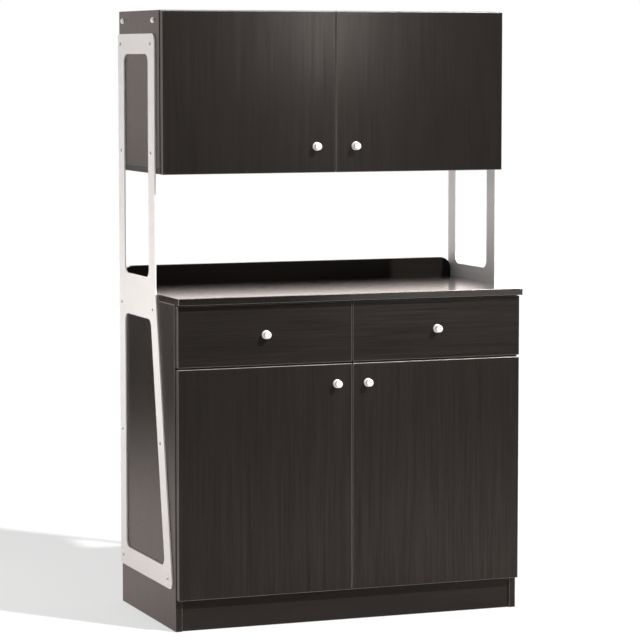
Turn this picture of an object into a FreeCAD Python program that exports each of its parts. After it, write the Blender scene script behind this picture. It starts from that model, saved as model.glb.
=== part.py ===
# Waiter station: a base cabinet with two drawers and two doors, an upper cabinet
# with two doors, and a metal side frame at each end that carries the upper cabinet.
# Millimetres. The left side is -X, the front is -Y and up is +Z.
import FreeCAD, Part
import math
import os

os.makedirs("parts", exist_ok=True)
Vector = FreeCAD.Vector

# Overall sizes
cabinet_width = 945.0
base_depth = 455.0
worktop_height = 850.0
total_height = 1570.0
upper_setback = 116.0
upper_bottom_height = 1155.0

# Boards
board_thickness = 18.0
worktop_thickness = 18.0
front_thickness = 18.0
back_thickness = 6.0
board_edge_radius = 1.5
front_edge_radius = 2.0
worktop_overhang = 15.0

# Fronts: doors and drawer fronts that lie over the carcass edges
front_gap = 2.0
side_reveal = 2.0
middle_gap = 2.0
drawer_door_gap = 4.0
under_worktop_gap = 3.0
drawer_front_height = 155.5
upper_door_drop = 1.0
upper_door_top_reveal = 2.0

# Plinth and the base cabinet's inside
plinth_height = 80.0
plinth_setback = 5.0
door_above_plinth = 2.0
top_rail_depth = 80.0
shelf_front_setback = 30.0
shelf_side_clearance = 1.0
shelf_back_clearance = 2.0

# Shelf pins
pin_radius = 2.5
pin_in_board = 8.0
pin_out_of_board = 9.0
pin_front_offset = 50.0
pin_back_offset = 55.0
hole_clearance = 0.05
cut_overlap = 1.0

# Upstand behind the worktop
upstand_height = 50.5
upstand_thickness = 18.0
upstand_corner_radius = 30.0

# Side frames
frame_thickness = 4.0
frame_above_plinth = 25.0
frame_top_drop = 59.5
frame_back_inset = 2.0
frame_front_setback = 145.0
frame_foot_setback = 15.0
frame_kink_rise = 12.0
frame_bar = 52.0
frame_back_bar = 48.5
frame_band_drop = 70.0
frame_band_rise = 36.5
frame_edge_radius = 0.5
frame_front_corner = 20.0
frame_back_corner = 8.0
frame_window_corner = 22.0

# Screws that hold the frames
frame_screw_end_inset = 26.0
band_screw_drop = 43.0
upper_screw_rise = 51.5
frame_screw_front_inset = 30.0
frame_screw_back_inset = 24.0
frame_screw_head_radius = 4.5
frame_screw_head_height = 2.6
frame_screw_radius = 2.2
frame_screw_in_board = 14.0
frame_screw_rim = 0.6
socket_radius = 1.7
socket_depth = 1.8

# Pins riveted into the frames that the upper cabinet rests on
stud_radius = 3.0
stud_length = 7.0
stud_shank_radius = 2.0
stud_rim = 0.5
stud_seat_gap = 0.3

# Bolts that join the upper cabinet to a neighbour
joining_bolt_drop = 26.0
joining_bolt_front_inset = 17.0
joining_bolt_back_inset = 34.0
joining_bolt_radius = 7.5
joining_bolt_dome = 7.0
joining_bolt_rim = 1.0
joining_bolt_shank = 3.0
joining_nut_radius = 6.0
joining_nut_height = 3.0

# Turned knobs
knob_base_radius = 11.0
knob_base_thickness = 4.0
knob_neck_radius = 7.5
knob_cap_radius = 9.2
knob_cap_start = 11.0
knob_reach = 19.0
knob_edge_round = 1.2
knob_crown = 0.8
knob_screw_radius = 2.0
knob_screw_grip = 10.0
knob_screw_head_radius = 4.0
knob_screw_head_height = 2.3
upper_knob_from_edge = 53.0
upper_knob_from_bottom = 67.5
lower_knob_from_edge = 41.5
lower_knob_from_top = 51.0

# Single-pivot cup hinges
hinge_end_distance = 90.0
cup_radius = 17.5
cup_wall = 0.8
cup_depth = 13.5
cup_edge_distance = 3.0
cup_flange_thickness = 1.2
cup_flange_width = 12.0
cup_flange_half_height = 28.0
cup_rim_width = 1.5
pressed_corner_radius = 3.0
cup_screw_offset = 9.5
cup_screw_spread = 22.5
pivot_from_door_edge = 6.4
pivot_behind_face = 11.0
hinge_pin_radius = 1.0
hinge_pin_half_length = 8.0
cup_ear_gap = 0.6
cup_ear_reach = 2.5
hinge_running_clearance = 0.05
knuckle_radius = 1.9
arm_thickness = 2.0
arm_tip_width = 8.0
arm_width = 14.0
arm_back = 60.0
arm_neck_end = 8.0
arm_bend_radius = 3.0
plate_thickness = 4.0
plate_front = 22.0
plate_back = 64.0
plate_wing_depth = 11.0
plate_wing_thickness = 2.0
plate_wing_half_height = 23.0
plate_screw_from_front = 37.0
plate_screw_spread = 16.0
small_screw_radius = 1.8
small_screw_head_radius = 3.4
plate_screw_length = 12.0
cup_screw_length = 10.0
small_screw_point = 2.0
arm_screw_radius = 2.5
arm_screw_head_radius = 4.2
arm_screw_head_height = 1.8
arm_screw_from_front = 50.0

# Drawer boxes
box_board = 12.0
box_height = 110.0
box_above_shelf = 9.5
box_depth = 427.0
box_bottom_thickness = 6.0
box_bottom_rise = 10.0
groove_depth = 6.0
groove_clearance = 0.2

# Telescopic runners, in three nested profiles
runner_gap = 12.7
runner_length = 400.0
runner_from_front = 6.0
runner_rise = 45.0
runner_sheet = 1.2
runner_half_height = 17.5
runner_play = 0.3
cabinet_profile_reach = 9.0
cabinet_profile_lip = 2.8
middle_profile_start = 3.0
middle_profile_end = 10.5
middle_profile_half = 14.6
middle_profile_lip = 1.8
middle_track_start = 4.5
drawer_profile_start = 5.2
drawer_profile_half = 11.3
drawer_track_start = 6.0
drawer_track_end = 9.0

# Places worked out from the sizes above
half_width = cabinet_width / 2
inner_half = half_width - board_thickness
base_front = 0.0
front_face = base_front - front_gap - front_thickness
worktop_front = front_face - worktop_overhang
worktop_bottom = worktop_height - worktop_thickness
bottom_top = plinth_height + board_thickness
drawer_front_top = worktop_bottom - under_worktop_gap
drawer_front_bottom = drawer_front_top - drawer_front_height
lower_door_top = drawer_front_bottom - drawer_door_gap
lower_door_bottom = plinth_height + door_above_plinth
drawer_shelf_top = drawer_front_bottom - drawer_door_gap / 2 + board_thickness / 2
drawer_shelf_bottom = drawer_shelf_top - board_thickness
rail_bottom = worktop_bottom - board_thickness
upper_front = upper_setback
upper_side_bottom = upper_bottom_height + board_thickness
upper_top_bottom = total_height - board_thickness
upper_door_bottom = upper_bottom_height - upper_door_drop
upper_door_top = total_height - upper_door_top_reveal
inside_back = base_depth - back_thickness
front_width = half_width - side_reveal - middle_gap / 2
frame_bottom = plinth_height + frame_above_plinth
frame_top = total_height - frame_top_drop
frame_kink_height = worktop_height + frame_kink_rise
frame_band_bottom = worktop_height - frame_band_drop
frame_band_top = worktop_height + frame_band_rise
frame_back = base_depth - frame_back_inset
frame_outer_face = half_width + frame_thickness
stud_height = upper_bottom_height - stud_seat_gap - stud_radius
joining_bolt_height = total_height - joining_bolt_drop
low_screw_row = frame_bottom + frame_screw_end_inset
band_screw_row = worktop_height - band_screw_drop
middle_screw_row = (low_screw_row + band_screw_row) / 2
upper_screw_row = upper_bottom_height + upper_screw_rise
top_screw_row = frame_top - frame_screw_end_inset
frame_screw_rows = [low_screw_row, middle_screw_row, band_screw_row, upper_screw_row, top_screw_row]
base_shelf_bottom = (bottom_top + drawer_shelf_bottom - board_thickness) / 2
upper_shelf_bottom = (upper_side_bottom + upper_top_bottom - board_thickness) / 2

# The origin is under the middle of the whole object, knobs included
front_reach = min(worktop_front, front_face - knob_reach)
centre_y = (front_reach + base_depth) / 2


def save(name, shape):
    """Write one sub-part, moved so that the origin is under the object's middle."""
    moved = shape.copy()
    moved.translate(Vector(0, -centre_y, 0))
    moved.exportStep("parts/" + name + ".step")


def group(solids):
    """Separate solids that share one sub-part."""
    return Part.makeCompound(solids)


def mirrored(shape):
    """The same piece for the right side."""
    return shape.mirror(Vector(0, 0, 0), Vector(1, 0, 0))


def block(x0, x1, y0, y1, z0, z1):
    """A plain box between two corners."""
    return Part.makeBox(x1 - x0, y1 - y0, z1 - z0, Vector(x0, y0, z0))


def board(x0, x1, y0, y1, z0, z1, edge_radius=board_edge_radius):
    """A board with its edges eased."""
    plain = block(x0, x1, y0, y1, z0, z1)
    return plain.makeFillet(edge_radius, plain.Edges)


def rounded_outline(points, radii):
    """A closed wire through the points, with a tangent arc at each rounded corner."""
    edges = []
    ends = []
    count = len(points)
    for i in range(count):
        corner = points[i]
        back = points[i - 1] - corner
        ahead = points[(i + 1) % count] - corner
        radius = radii[i]
        if radius == 0:
            ends.append((corner, corner))
            continue
        half_angle = back.getAngle(ahead) / 2
        reach = radius / math.tan(half_angle)
        start = corner + back.normalize() * reach
        finish = corner + ahead.normalize() * reach
        towards = (back + ahead).normalize()
        middle = corner + towards * (radius / math.sin(half_angle) - radius)
        edges.append(Part.Arc(start, middle, finish).toShape())
        ends.append((start, finish))
    for i in range(count):
        leaving = ends[i][1]
        arriving = ends[(i + 1) % count][0]
        if leaving.distanceToPoint(arriving) > 1e-6:
            edges.append(Part.makeLine(leaving, arriving))
    return Part.Wire(Part.__sortEdges__(edges))


def turned(profile, place, axis):
    """A solid of revolution: profile lists radius and distance along the axis."""
    corners = []
    for radius, along in profile:
        corners.append(Vector(radius, 0, along))
    solid = Part.Face(Part.makePolygon(corners + [corners[0]])).revolve(
        Vector(0, 0, 0), Vector(0, 0, 1), 360)
    return aimed(solid, place, axis)


def aimed(solid, place, axis):
    """A solid that was made along +Z, turned to the axis and moved to its place."""
    turn = FreeCAD.Rotation(Vector(0, 0, 1), axis)
    result = solid.copy()
    result.Placement = FreeCAD.Placement(place, turn)
    return result


def rod(radius, length, place, axis):
    """A round bar from a place along an axis."""
    return Part.makeCylinder(radius, length, place, axis)


def frame_front_at(height):
    """How far behind the carcass front the frame's front edge is at a height."""
    if height >= frame_kink_height:
        return frame_front_setback
    share = (height - frame_bottom) / (frame_kink_height - frame_bottom)
    return frame_foot_setback + share * (frame_front_setback - frame_foot_setback)


def frame_screw_places():
    """Front and back screw of each row, as depth and height."""
    places = []
    for height in frame_screw_rows:
        places.append((frame_front_at(height) + frame_screw_front_inset, height))
        places.append((frame_back - frame_screw_back_inset, height))
    return places


def stud_places():
    """The four studs of one frame pair share these depths."""
    front = frame_front_setback + frame_screw_front_inset
    back = frame_back - frame_screw_back_inset
    return [(front, stud_height), (back, stud_height)]


def joining_places():
    """Front and back joining bolt of the upper cabinet."""
    front = frame_front_setback + joining_bolt_front_inset
    back = frame_back - joining_bolt_back_inset
    return [(front, joining_bolt_height), (back, joining_bolt_height)]


def pin_places(front, shelf_bottom):
    """Depth and height of the two pins under one end of a shelf."""
    height = shelf_bottom - pin_radius
    return [(front + pin_front_offset, height), (base_depth - pin_back_offset, height)]


def hinge_heights(bottom, top):
    """The two hinges of a door."""
    return [bottom + hinge_end_distance, top - hinge_end_distance]


lower_hinges = hinge_heights(lower_door_bottom, lower_door_top)
upper_hinges = hinge_heights(upper_door_bottom, upper_door_top)


def side_panel(front, bottom, top, hinges, shelf_bottom, frame_rows_inside):
    """A left side panel, drilled for frame screws, shelf pins and hinge plates."""
    panel = board(-half_width, -inner_half, front, base_depth, bottom, top)
    holes = []
    for depth, height in frame_rows_inside:
        place = Vector(-half_width - cut_overlap, depth, height)
        length = frame_screw_in_board + cut_overlap
        holes.append(rod(frame_screw_radius + hole_clearance, length, place, Vector(1, 0, 0)))
    for depth, height in pin_places(front, shelf_bottom):
        place = Vector(-inner_half + cut_overlap, depth, height)
        length = pin_in_board + cut_overlap
        holes.append(rod(pin_radius + hole_clearance, length, place, Vector(-1, 0, 0)))
    for height in hinges:
        for side in (-1, 1):
            place = Vector(-inner_half + cut_overlap, front + plate_screw_from_front,
                           height + side * plate_screw_spread)
            length = plate_screw_length + cut_overlap
            holes.append(rod(small_screw_radius + hole_clearance, length, place, Vector(-1, 0, 0)))
    return panel.cut(holes)


def base_side():
    """Left side of the base cabinet, down to the floor."""
    inside = [p for p in frame_screw_places() if p[1] < worktop_bottom]
    return side_panel(base_front, 0, worktop_bottom, lower_hinges, base_shelf_bottom, inside)


def upper_side():
    """Left side of the upper cabinet, standing on the bottom board."""
    inside = [p for p in frame_screw_places() if p[1] > upper_side_bottom]
    panel = side_panel(upper_front, upper_side_bottom, total_height, upper_hinges,
                       upper_shelf_bottom, inside)
    holes = []
    for depth, height in joining_places():
        place = Vector(-half_width - cut_overlap, depth, height)
        length = board_thickness + 2 * cut_overlap
        holes.append(rod(joining_bolt_shank + hole_clearance, length, place, Vector(1, 0, 0)))
    return panel.cut(holes)


def frame_plate():
    """Left side frame: a plate with a bent front edge and two rounded windows."""
    face_x = -frame_outer_face
    front = frame_front_setback
    foot = frame_foot_setback
    bar = frame_bar
    outer = [
        Vector(face_x, foot, frame_bottom),
        Vector(face_x, front, frame_kink_height),
        Vector(face_x, front, frame_top),
        Vector(face_x, frame_back, frame_top),
        Vector(face_x, frame_back, frame_bottom),
    ]
    outer_radii = [frame_front_corner, 0, frame_front_corner, frame_back_corner, frame_back_corner]
    upper = [
        Vector(face_x, front + bar, frame_band_top),
        Vector(face_x, front + bar, frame_top - bar),
        Vector(face_x, frame_back - frame_back_bar, frame_top - bar),
        Vector(face_x, frame_back - frame_back_bar, frame_band_top),
    ]
    low = frame_bottom + bar
    lower = [
        Vector(face_x, frame_front_at(low) + bar, low),
        Vector(face_x, frame_front_at(frame_band_bottom) + bar, frame_band_bottom),
        Vector(face_x, frame_back - frame_back_bar, frame_band_bottom),
        Vector(face_x, frame_back - frame_back_bar, low),
    ]
    window_radii = [frame_window_corner] * 4
    through = Vector(frame_thickness, 0, 0)
    plate = Part.Face(rounded_outline(outer, outer_radii)).extrude(through)
    plate = plate.cut([Part.Face(rounded_outline(upper, window_radii)).extrude(through),
                       Part.Face(rounded_outline(lower, window_radii)).extrude(through)])
    rims = [edge for edge in plate.Edges if edge.BoundBox.XLength < frame_edge_radius]
    plate = plate.makeFillet(frame_edge_radius, rims)
    holes = []
    length = frame_thickness + 2 * cut_overlap
    for depth, height in frame_screw_places():
        place = Vector(face_x - cut_overlap, depth, height)
        holes.append(rod(frame_screw_radius + hole_clearance, length, place, Vector(1, 0, 0)))
    for depth, height in stud_places():
        place = Vector(face_x - cut_overlap, depth, height)
        holes.append(rod(stud_shank_radius + hole_clearance, length, place, Vector(1, 0, 0)))
    return plate.cut(holes)


def crown(radius, base, rise):
    """An arc over the axis, from a rim at the base height up to the middle."""
    sphere_radius = (radius * radius + rise * rise) / (2 * rise)
    ball_centre = base + rise - sphere_radius
    half_angle = math.asin(radius / sphere_radius) / 2
    between = Vector(sphere_radius * math.sin(half_angle), 0,
                     ball_centre + sphere_radius * math.cos(half_angle))
    return Part.Arc(Vector(radius, 0, base), between, Vector(0, 0, base + rise)).toShape()


def spun(edges, place, axis):
    """A solid turned from the edges of its half section, then aimed."""
    solid = Part.Face(Part.Wire(edges)).revolve(Vector(0, 0, 0), Vector(0, 0, 1), 360)
    return aimed(solid, place, axis)


def dome_head(radius, height, rim, place, axis):
    """A round head: a short rim and a dome, its flat side at the place."""
    return spun([
        Part.makeLine(Vector(0, 0, 0), Vector(radius, 0, 0)),
        Part.makeLine(Vector(radius, 0, 0), Vector(radius, 0, rim)),
        crown(radius, rim, height - rim),
        Part.makeLine(Vector(0, 0, height), Vector(0, 0, 0)),
    ], place, axis)


def frame_screw(depth, height):
    """Button-head screw through the left frame into the side panel."""
    outward = Vector(-1, 0, 0)
    seat = Vector(-frame_outer_face, depth, height)
    head = dome_head(frame_screw_head_radius, frame_screw_head_height, frame_screw_rim, seat,
                     outward)
    shank = rod(frame_screw_radius, frame_thickness + frame_screw_in_board, seat, Vector(1, 0, 0))
    socket_start = seat + outward * (frame_screw_head_height - socket_depth)
    socket = rod(socket_radius, socket_depth + cut_overlap, socket_start, outward)
    return head.fuse(shank).cut(socket)


def support_stud(depth, height):
    """Pin with its shank flush in the left frame and its thicker end under the upper cabinet."""
    inward = Vector(1, 0, 0)
    shank = rod(stud_shank_radius, frame_thickness, Vector(-frame_outer_face, depth, height), inward)
    pin = turned([(0, 0), (stud_radius, 0), (stud_radius, stud_length - stud_rim),
                  (stud_radius - stud_rim, stud_length), (0, stud_length)],
                 Vector(-half_width, depth, height), inward)
    return shank.fuse(pin)


def joining_bolt(depth, height):
    """Domed bolt through the upper side, with its flanged sleeve nut inside."""
    seat = Vector(-half_width, depth, height)
    head = dome_head(joining_bolt_radius, joining_bolt_dome, joining_bolt_rim, seat,
                     Vector(-1, 0, 0))
    shank = rod(joining_bolt_shank, board_thickness, seat, Vector(1, 0, 0))
    nut_seat = Vector(-inner_half, depth, height)
    nut = rod(joining_nut_radius, joining_nut_height, nut_seat, Vector(1, 0, 0))
    return [head.fuse(shank), nut]


def shelf_pin(front, shelf_bottom):
    """The two left pins under a shelf."""
    pins = []
    for depth, height in pin_places(front, shelf_bottom):
        place = Vector(-inner_half - pin_in_board, depth, height)
        pins.append(rod(pin_radius, pin_in_board + pin_out_of_board, place, Vector(1, 0, 0)))
    return pins


def upstand_board():
    """The board behind the worktop, with large rounded top corners."""
    top = worktop_height + upstand_height
    face_y = base_depth - upstand_thickness
    corners = [
        Vector(-half_width, face_y, worktop_height),
        Vector(half_width, face_y, worktop_height),
        Vector(half_width, face_y, top),
        Vector(-half_width, face_y, top),
    ]
    wire = rounded_outline(corners, [0, 0, upstand_corner_radius, upstand_corner_radius])
    return Part.Face(wire).extrude(Vector(0, upstand_thickness, 0))


def knob(face_y, x, height, bolt_length):
    """A turned knob on a front, and the screw that holds it from behind."""
    rim = Vector(knob_base_radius, 0, knob_base_thickness)
    waist = Vector(knob_neck_radius, 0, (knob_base_thickness + knob_cap_start) / 2)
    cap_start = Vector(knob_cap_radius, 0, knob_cap_start)
    shoulder = knob_reach - knob_crown
    cap_side = Vector(knob_cap_radius, 0, shoulder - knob_edge_round)
    lean = knob_edge_round * (1 - math.sqrt(0.5))
    cap_bend = Vector(knob_cap_radius - lean, 0, shoulder - lean)
    cap_edge = Vector(knob_cap_radius - knob_edge_round, 0, shoulder)
    seat = Vector(x, face_y, height)
    outward = Vector(0, -1, 0)
    body = spun([
        Part.makeLine(Vector(0, 0, 0), Vector(knob_base_radius, 0, 0)),
        Part.makeLine(Vector(knob_base_radius, 0, 0), rim),
        Part.Arc(rim, waist, cap_start).toShape(),
        Part.makeLine(cap_start, cap_side),
        Part.Arc(cap_side, cap_bend, cap_edge).toShape(),
        crown(knob_cap_radius - knob_edge_round, shoulder, knob_crown),
        Part.makeLine(Vector(0, 0, knob_reach), Vector(0, 0, 0)),
    ], seat, outward)
    bore = rod(knob_screw_radius + hole_clearance, knob_screw_grip + hole_clearance, seat, outward)
    back = Vector(x, face_y + bolt_length, height)
    screw = rod(knob_screw_radius, bolt_length + knob_screw_grip, back, outward)
    head = rod(knob_screw_head_radius, knob_screw_head_height, back, Vector(0, 1, 0))
    return group([body.cut(bore), screw.fuse(head)])


def countersunk(length, place, axis):
    """A small wood screw whose flat head is flush at the place; the axis points inward."""
    depth = small_screw_head_radius - small_screw_radius
    return turned([(0, 0), (small_screw_head_radius, 0), (small_screw_radius, depth),
                   (small_screw_radius, length - small_screw_point), (0, length)], place, axis)


def hinge_frame(front):
    """Where the pivot is, seen from above, for a left door in front of a carcass."""
    door_edge = -half_width + side_reveal
    door_back = front - front_gap
    return Vector(door_edge + pivot_from_door_edge, door_back - pivot_behind_face, 0)


def cup_centre(front):
    """The cup's middle on the door's inner face."""
    door_edge = -half_width + side_reveal
    return Vector(door_edge + cup_edge_distance + cup_radius, front - front_gap, 0)


def hinge_cup(front, height):
    """A pressed cup with its flange, let into the door from behind."""
    centre = cup_centre(front) + Vector(0, 0, height)
    into = Vector(0, -1, 0)
    shell = rod(cup_radius, cup_depth + cup_wall, centre, into)
    left = centre.x - cup_radius
    right = centre.x + cup_screw_offset + cup_flange_width / 2
    wing = block(centre.x + cup_screw_offset - cup_flange_width / 2, right,
                 centre.y, centre.y + cup_flange_thickness,
                 height - cup_flange_half_height, height + cup_flange_half_height)
    across = [edge for edge in wing.Edges if abs(edge.tangentAt(0).y) > 0.9]
    wing = wing.makeFillet(pressed_corner_radius, across)
    ring = rod(cup_radius + cup_rim_width, cup_flange_thickness, centre, Vector(0, 1, 0))
    ring = ring.common(block(left, right + cup_radius, centre.y,
                             centre.y + cup_flange_thickness, height - 2 * cup_radius,
                             height + 2 * cup_radius))
    hollow = rod(cup_radius - cup_wall, cup_depth + cup_flange_thickness,
                 centre + Vector(0, cup_flange_thickness, 0), into)
    pivot = hinge_frame(front)
    ears = []
    for side in (-1, 1):
        inner = height + side * (arm_tip_width / 2 + cup_ear_gap)
        outer = height + side * cup_radius
        ear = block(left, pivot.x + cup_ear_reach, centre.y - cup_depth,
                    pivot.y + cup_ear_reach, min(inner, outer), max(inner, outer))
        ears.append(ear.common(shell))
    cup = shell.fuse([wing, ring]).cut(hollow).fuse(ears)
    pin_hole = rod(hinge_pin_radius, 2 * hinge_pin_half_length,
                   Vector(pivot.x, pivot.y, height - hinge_pin_half_length), Vector(0, 0, 1))
    screw_holes = [countersunk(cup_screw_length, place, into)
                   for place in cup_screw_places(front, height)]
    return cup.cut([pin_hole] + screw_holes)


def cup_screw_places(front, height):
    """The two screws of a cup, at the flange's outer face."""
    centre = cup_centre(front)
    places = []
    for side in (-1, 1):
        places.append(Vector(centre.x + cup_screw_offset, centre.y + cup_flange_thickness,
                             height + side * cup_screw_spread))
    return places


def hinge_pin(front, height):
    """The pin across the cup that the arm turns on."""
    pivot = hinge_frame(front)
    return rod(hinge_pin_radius, 2 * hinge_pin_half_length,
               Vector(pivot.x, pivot.y, height - hinge_pin_half_length), Vector(0, 0, 1))


def hinge_arm(front, height):
    """Gooseneck arm: from the pin across the cup, then back along the side panel."""
    pivot = hinge_frame(front)
    half = arm_thickness / 2
    arm_inner = -inner_half + plate_thickness
    arm_outer = arm_inner + arm_thickness
    back = front + arm_back
    low = height - arm_width / 2
    corners = [
        Vector(pivot.x, pivot.y - half, low),
        Vector(arm_outer, pivot.y - half, low),
        Vector(arm_outer, back, low),
        Vector(arm_inner, back, low),
        Vector(arm_inner, pivot.y + half, low),
        Vector(pivot.x, pivot.y + half, low),
    ]
    radii = [0, arm_bend_radius, 0, 0, arm_bend_radius - arm_thickness, 0]
    bar = Part.Face(rounded_outline(corners, radii)).extrude(Vector(0, 0, arm_width))
    knuckle = rod(knuckle_radius, arm_tip_width,
                  Vector(pivot.x, pivot.y, height - arm_tip_width / 2), Vector(0, 0, 1))
    neck_y = front + arm_neck_end
    full_y = neck_y + (arm_width - arm_tip_width)
    outside_x = pivot.x - arm_thickness
    outside_y = pivot.y - arm_thickness
    keep = [
        Vector(outside_x, outside_y, height - arm_tip_width / 2),
        Vector(outside_x, neck_y, height - arm_tip_width / 2),
        Vector(outside_x, full_y, height - arm_width / 2),
        Vector(outside_x, back, height - arm_width / 2),
        Vector(outside_x, back, height + arm_width / 2),
        Vector(outside_x, full_y, height + arm_width / 2),
        Vector(outside_x, neck_y, height + arm_tip_width / 2),
        Vector(outside_x, outside_y, height + arm_tip_width / 2),
    ]
    side_view = Part.Face(Part.makePolygon(keep + [keep[0]])).extrude(
        Vector(arm_outer + arm_thickness - outside_x, 0, 0))
    arm = bar.common(side_view).fuse(knuckle)
    bore_start = Vector(pivot.x, pivot.y, height - arm_tip_width / 2 - cut_overlap)
    bore = rod(hinge_pin_radius + hinge_running_clearance, arm_tip_width + 2 * cut_overlap,
               bore_start, Vector(0, 0, 1))
    screw_place = Vector(arm_inner - cut_overlap, front + arm_screw_from_front, height)
    screw_hole = rod(arm_screw_radius + hole_clearance, arm_thickness + 2 * cut_overlap,
                     screw_place, Vector(1, 0, 0))
    return arm.cut([bore, screw_hole])


def hinge_plate(front, height):
    """Mounting plate on the side panel: a raised bed with two screw wings."""
    bed = block(-inner_half, -inner_half + plate_thickness, front + plate_front,
                front + plate_back, height - arm_width / 2, height + arm_width / 2)
    screw_y = front + plate_screw_from_front
    wing = block(-inner_half, -inner_half + plate_wing_thickness,
                 screw_y - plate_wing_depth / 2, screw_y + plate_wing_depth / 2,
                 height - plate_wing_half_height, height + plate_wing_half_height)
    across = [edge for edge in wing.Edges if abs(edge.tangentAt(0).x) > 0.9]
    wing = wing.makeFillet(pressed_corner_radius, across)
    cuts = [countersunk(plate_screw_length, place, Vector(-1, 0, 0))
            for place in plate_screw_places(front, height)]
    arm_place = Vector(-inner_half - cut_overlap, front + arm_screw_from_front, height)
    cuts.append(rod(arm_screw_radius + hole_clearance, plate_thickness + 2 * cut_overlap,
                    arm_place, Vector(1, 0, 0)))
    return bed.fuse(wing).cut(cuts)


def plate_screw_places(front, height):
    """The two wood screws of a mounting plate."""
    places = []
    for side in (-1, 1):
        places.append(Vector(-inner_half + plate_wing_thickness, front + plate_screw_from_front,
                             height + side * plate_screw_spread))
    return places


def plate_screws(front, height):
    """Wood screws of a plate and the machine screw that clamps the arm on it."""
    screws = [countersunk(plate_screw_length, place, Vector(-1, 0, 0))
              for place in plate_screw_places(front, height)]
    arm_top = Vector(-inner_half + plate_thickness + arm_thickness,
                     front + arm_screw_from_front, height)
    head = rod(arm_screw_head_radius, arm_screw_head_height, arm_top, Vector(1, 0, 0))
    shank = rod(arm_screw_radius, arm_thickness + plate_thickness, arm_top, Vector(-1, 0, 0))
    screws.append(head.fuse(shank))
    return screws


def door_panel(front, bottom, top, hinges, knob_x, knob_z):
    """A left door, bored for its hinge cups, cup screws and knob screw."""
    left = -half_width + side_reveal
    back = front - front_gap
    panel = board(left, left + front_width, back - front_thickness, back, bottom, top,
                  front_edge_radius)
    holes = []
    for height in hinges:
        centre = cup_centre(front) + Vector(0, cut_overlap, height)
        depth = cup_depth + cup_wall + cut_overlap
        holes.append(rod(cup_radius + hole_clearance, depth, centre, Vector(0, -1, 0)))
        for place in cup_screw_places(front, height):
            start = Vector(place.x, back + cut_overlap, place.z)
            length = cup_screw_length - cup_flange_thickness + cut_overlap
            holes.append(rod(small_screw_head_radius, length, start, Vector(0, -1, 0)))
    holes.append(rod(knob_screw_radius + hole_clearance, front_thickness + 2 * cut_overlap,
                     Vector(knob_x, back + cut_overlap, knob_z), Vector(0, -1, 0)))
    return panel.cut(holes)


def make_door(side, level, front, bottom, top, hinges, knob_from_edge, knob_z):
    """One door with its knob, cups, pins and screws; side is left or right."""
    free_edge = -middle_gap / 2
    knob_x = free_edge - knob_from_edge
    face_y = front - front_gap - front_thickness
    pieces = {
        "door": door_panel(front, bottom, top, hinges, knob_x, knob_z),
        "knob": knob(face_y, knob_x, knob_z, front_thickness),
        "hinge_cups": group([hinge_cup(front, height) for height in hinges]),
        "hinge_pins": group([hinge_pin(front, height) for height in hinges]),
        "cup_screws": group([countersunk(cup_screw_length, place, Vector(0, -1, 0))
                             for height in hinges
                             for place in cup_screw_places(front, height)]),
    }
    for name, shape in pieces.items():
        placed = shape if side == "left" else mirrored(shape)
        save(level + "_" + side + "_" + name, placed)


def lip_profile(web, reach, half, sheet, lip):
    """Half of a lipped channel, from the web to the lip, for the upper half."""
    inward = sheet if reach > web else -sheet
    return [(web, 0), (web, half), (reach, half), (reach, half - lip), (reach - inward, half - lip),
            (reach - inward, half - sheet), (web + inward, half - sheet), (web + inward, 0)]


def runner_member(points, wall_x, centre_z, start_y):
    """A channel section, mirrored about its middle height and run along the depth."""
    upper = [Vector(wall_x + u, start_y, centre_z + v) for u, v in points]
    lower = [Vector(wall_x + u, start_y, centre_z - v) for u, v in reversed(points)]
    outline = upper + lower
    corners = [outline[0]]
    for corner in outline[1:]:
        if corner.distanceToPoint(corners[-1]) > 1e-6:
            corners.append(corner)
    if corners[0].distanceToPoint(corners[-1]) > 1e-6:
        corners.append(corners[0])
    return Part.Face(Part.makePolygon(corners)).extrude(Vector(0, runner_length, 0))


def cabinet_profile():
    """The channel screwed to the cabinet, open towards the drawer."""
    return lip_profile(0.0, cabinet_profile_reach, runner_half_height, runner_sheet,
                       cabinet_profile_lip)


def middle_profile():
    """The middle channel, with a raised track that runs in the cabinet channel."""
    start = middle_profile_start
    end = middle_profile_end
    half = middle_profile_half
    sheet = runner_sheet
    track_top = runner_half_height - sheet - runner_play
    track_end = cabinet_profile_reach - sheet - runner_play
    return [(start, 0), (start, half), (middle_track_start, half),
            (middle_track_start, track_top), (track_end, track_top), (track_end, half),
            (end, half), (end, half - sheet - middle_profile_lip),
            (end - sheet, half - sheet - middle_profile_lip), (end - sheet, half - sheet),
            (start + sheet, half - sheet), (start + sheet, 0)]


def drawer_profile():
    """The channel on the drawer, with a track that runs in the middle channel."""
    start = drawer_profile_start
    half = drawer_profile_half
    sheet = runner_sheet
    track_top = middle_profile_half - sheet - runner_play
    return [(runner_gap, 0), (runner_gap, half), (drawer_track_end, half),
            (drawer_track_end, track_top), (drawer_track_start, track_top),
            (drawer_track_start, half), (start, half), (start, half - sheet),
            (runner_gap - sheet, half - sheet), (runner_gap - sheet, 0)]


def both_walls(points, bay_left, bay_right, centre_z, start_y):
    """A runner member on the left wall of a drawer bay and its twin on the right wall."""
    near = runner_member(points, bay_left, centre_z, start_y)
    middle = (bay_left + bay_right) / 2
    far = near.mirror(Vector(middle, 0, 0), Vector(1, 0, 0))
    return [near, far]


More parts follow.
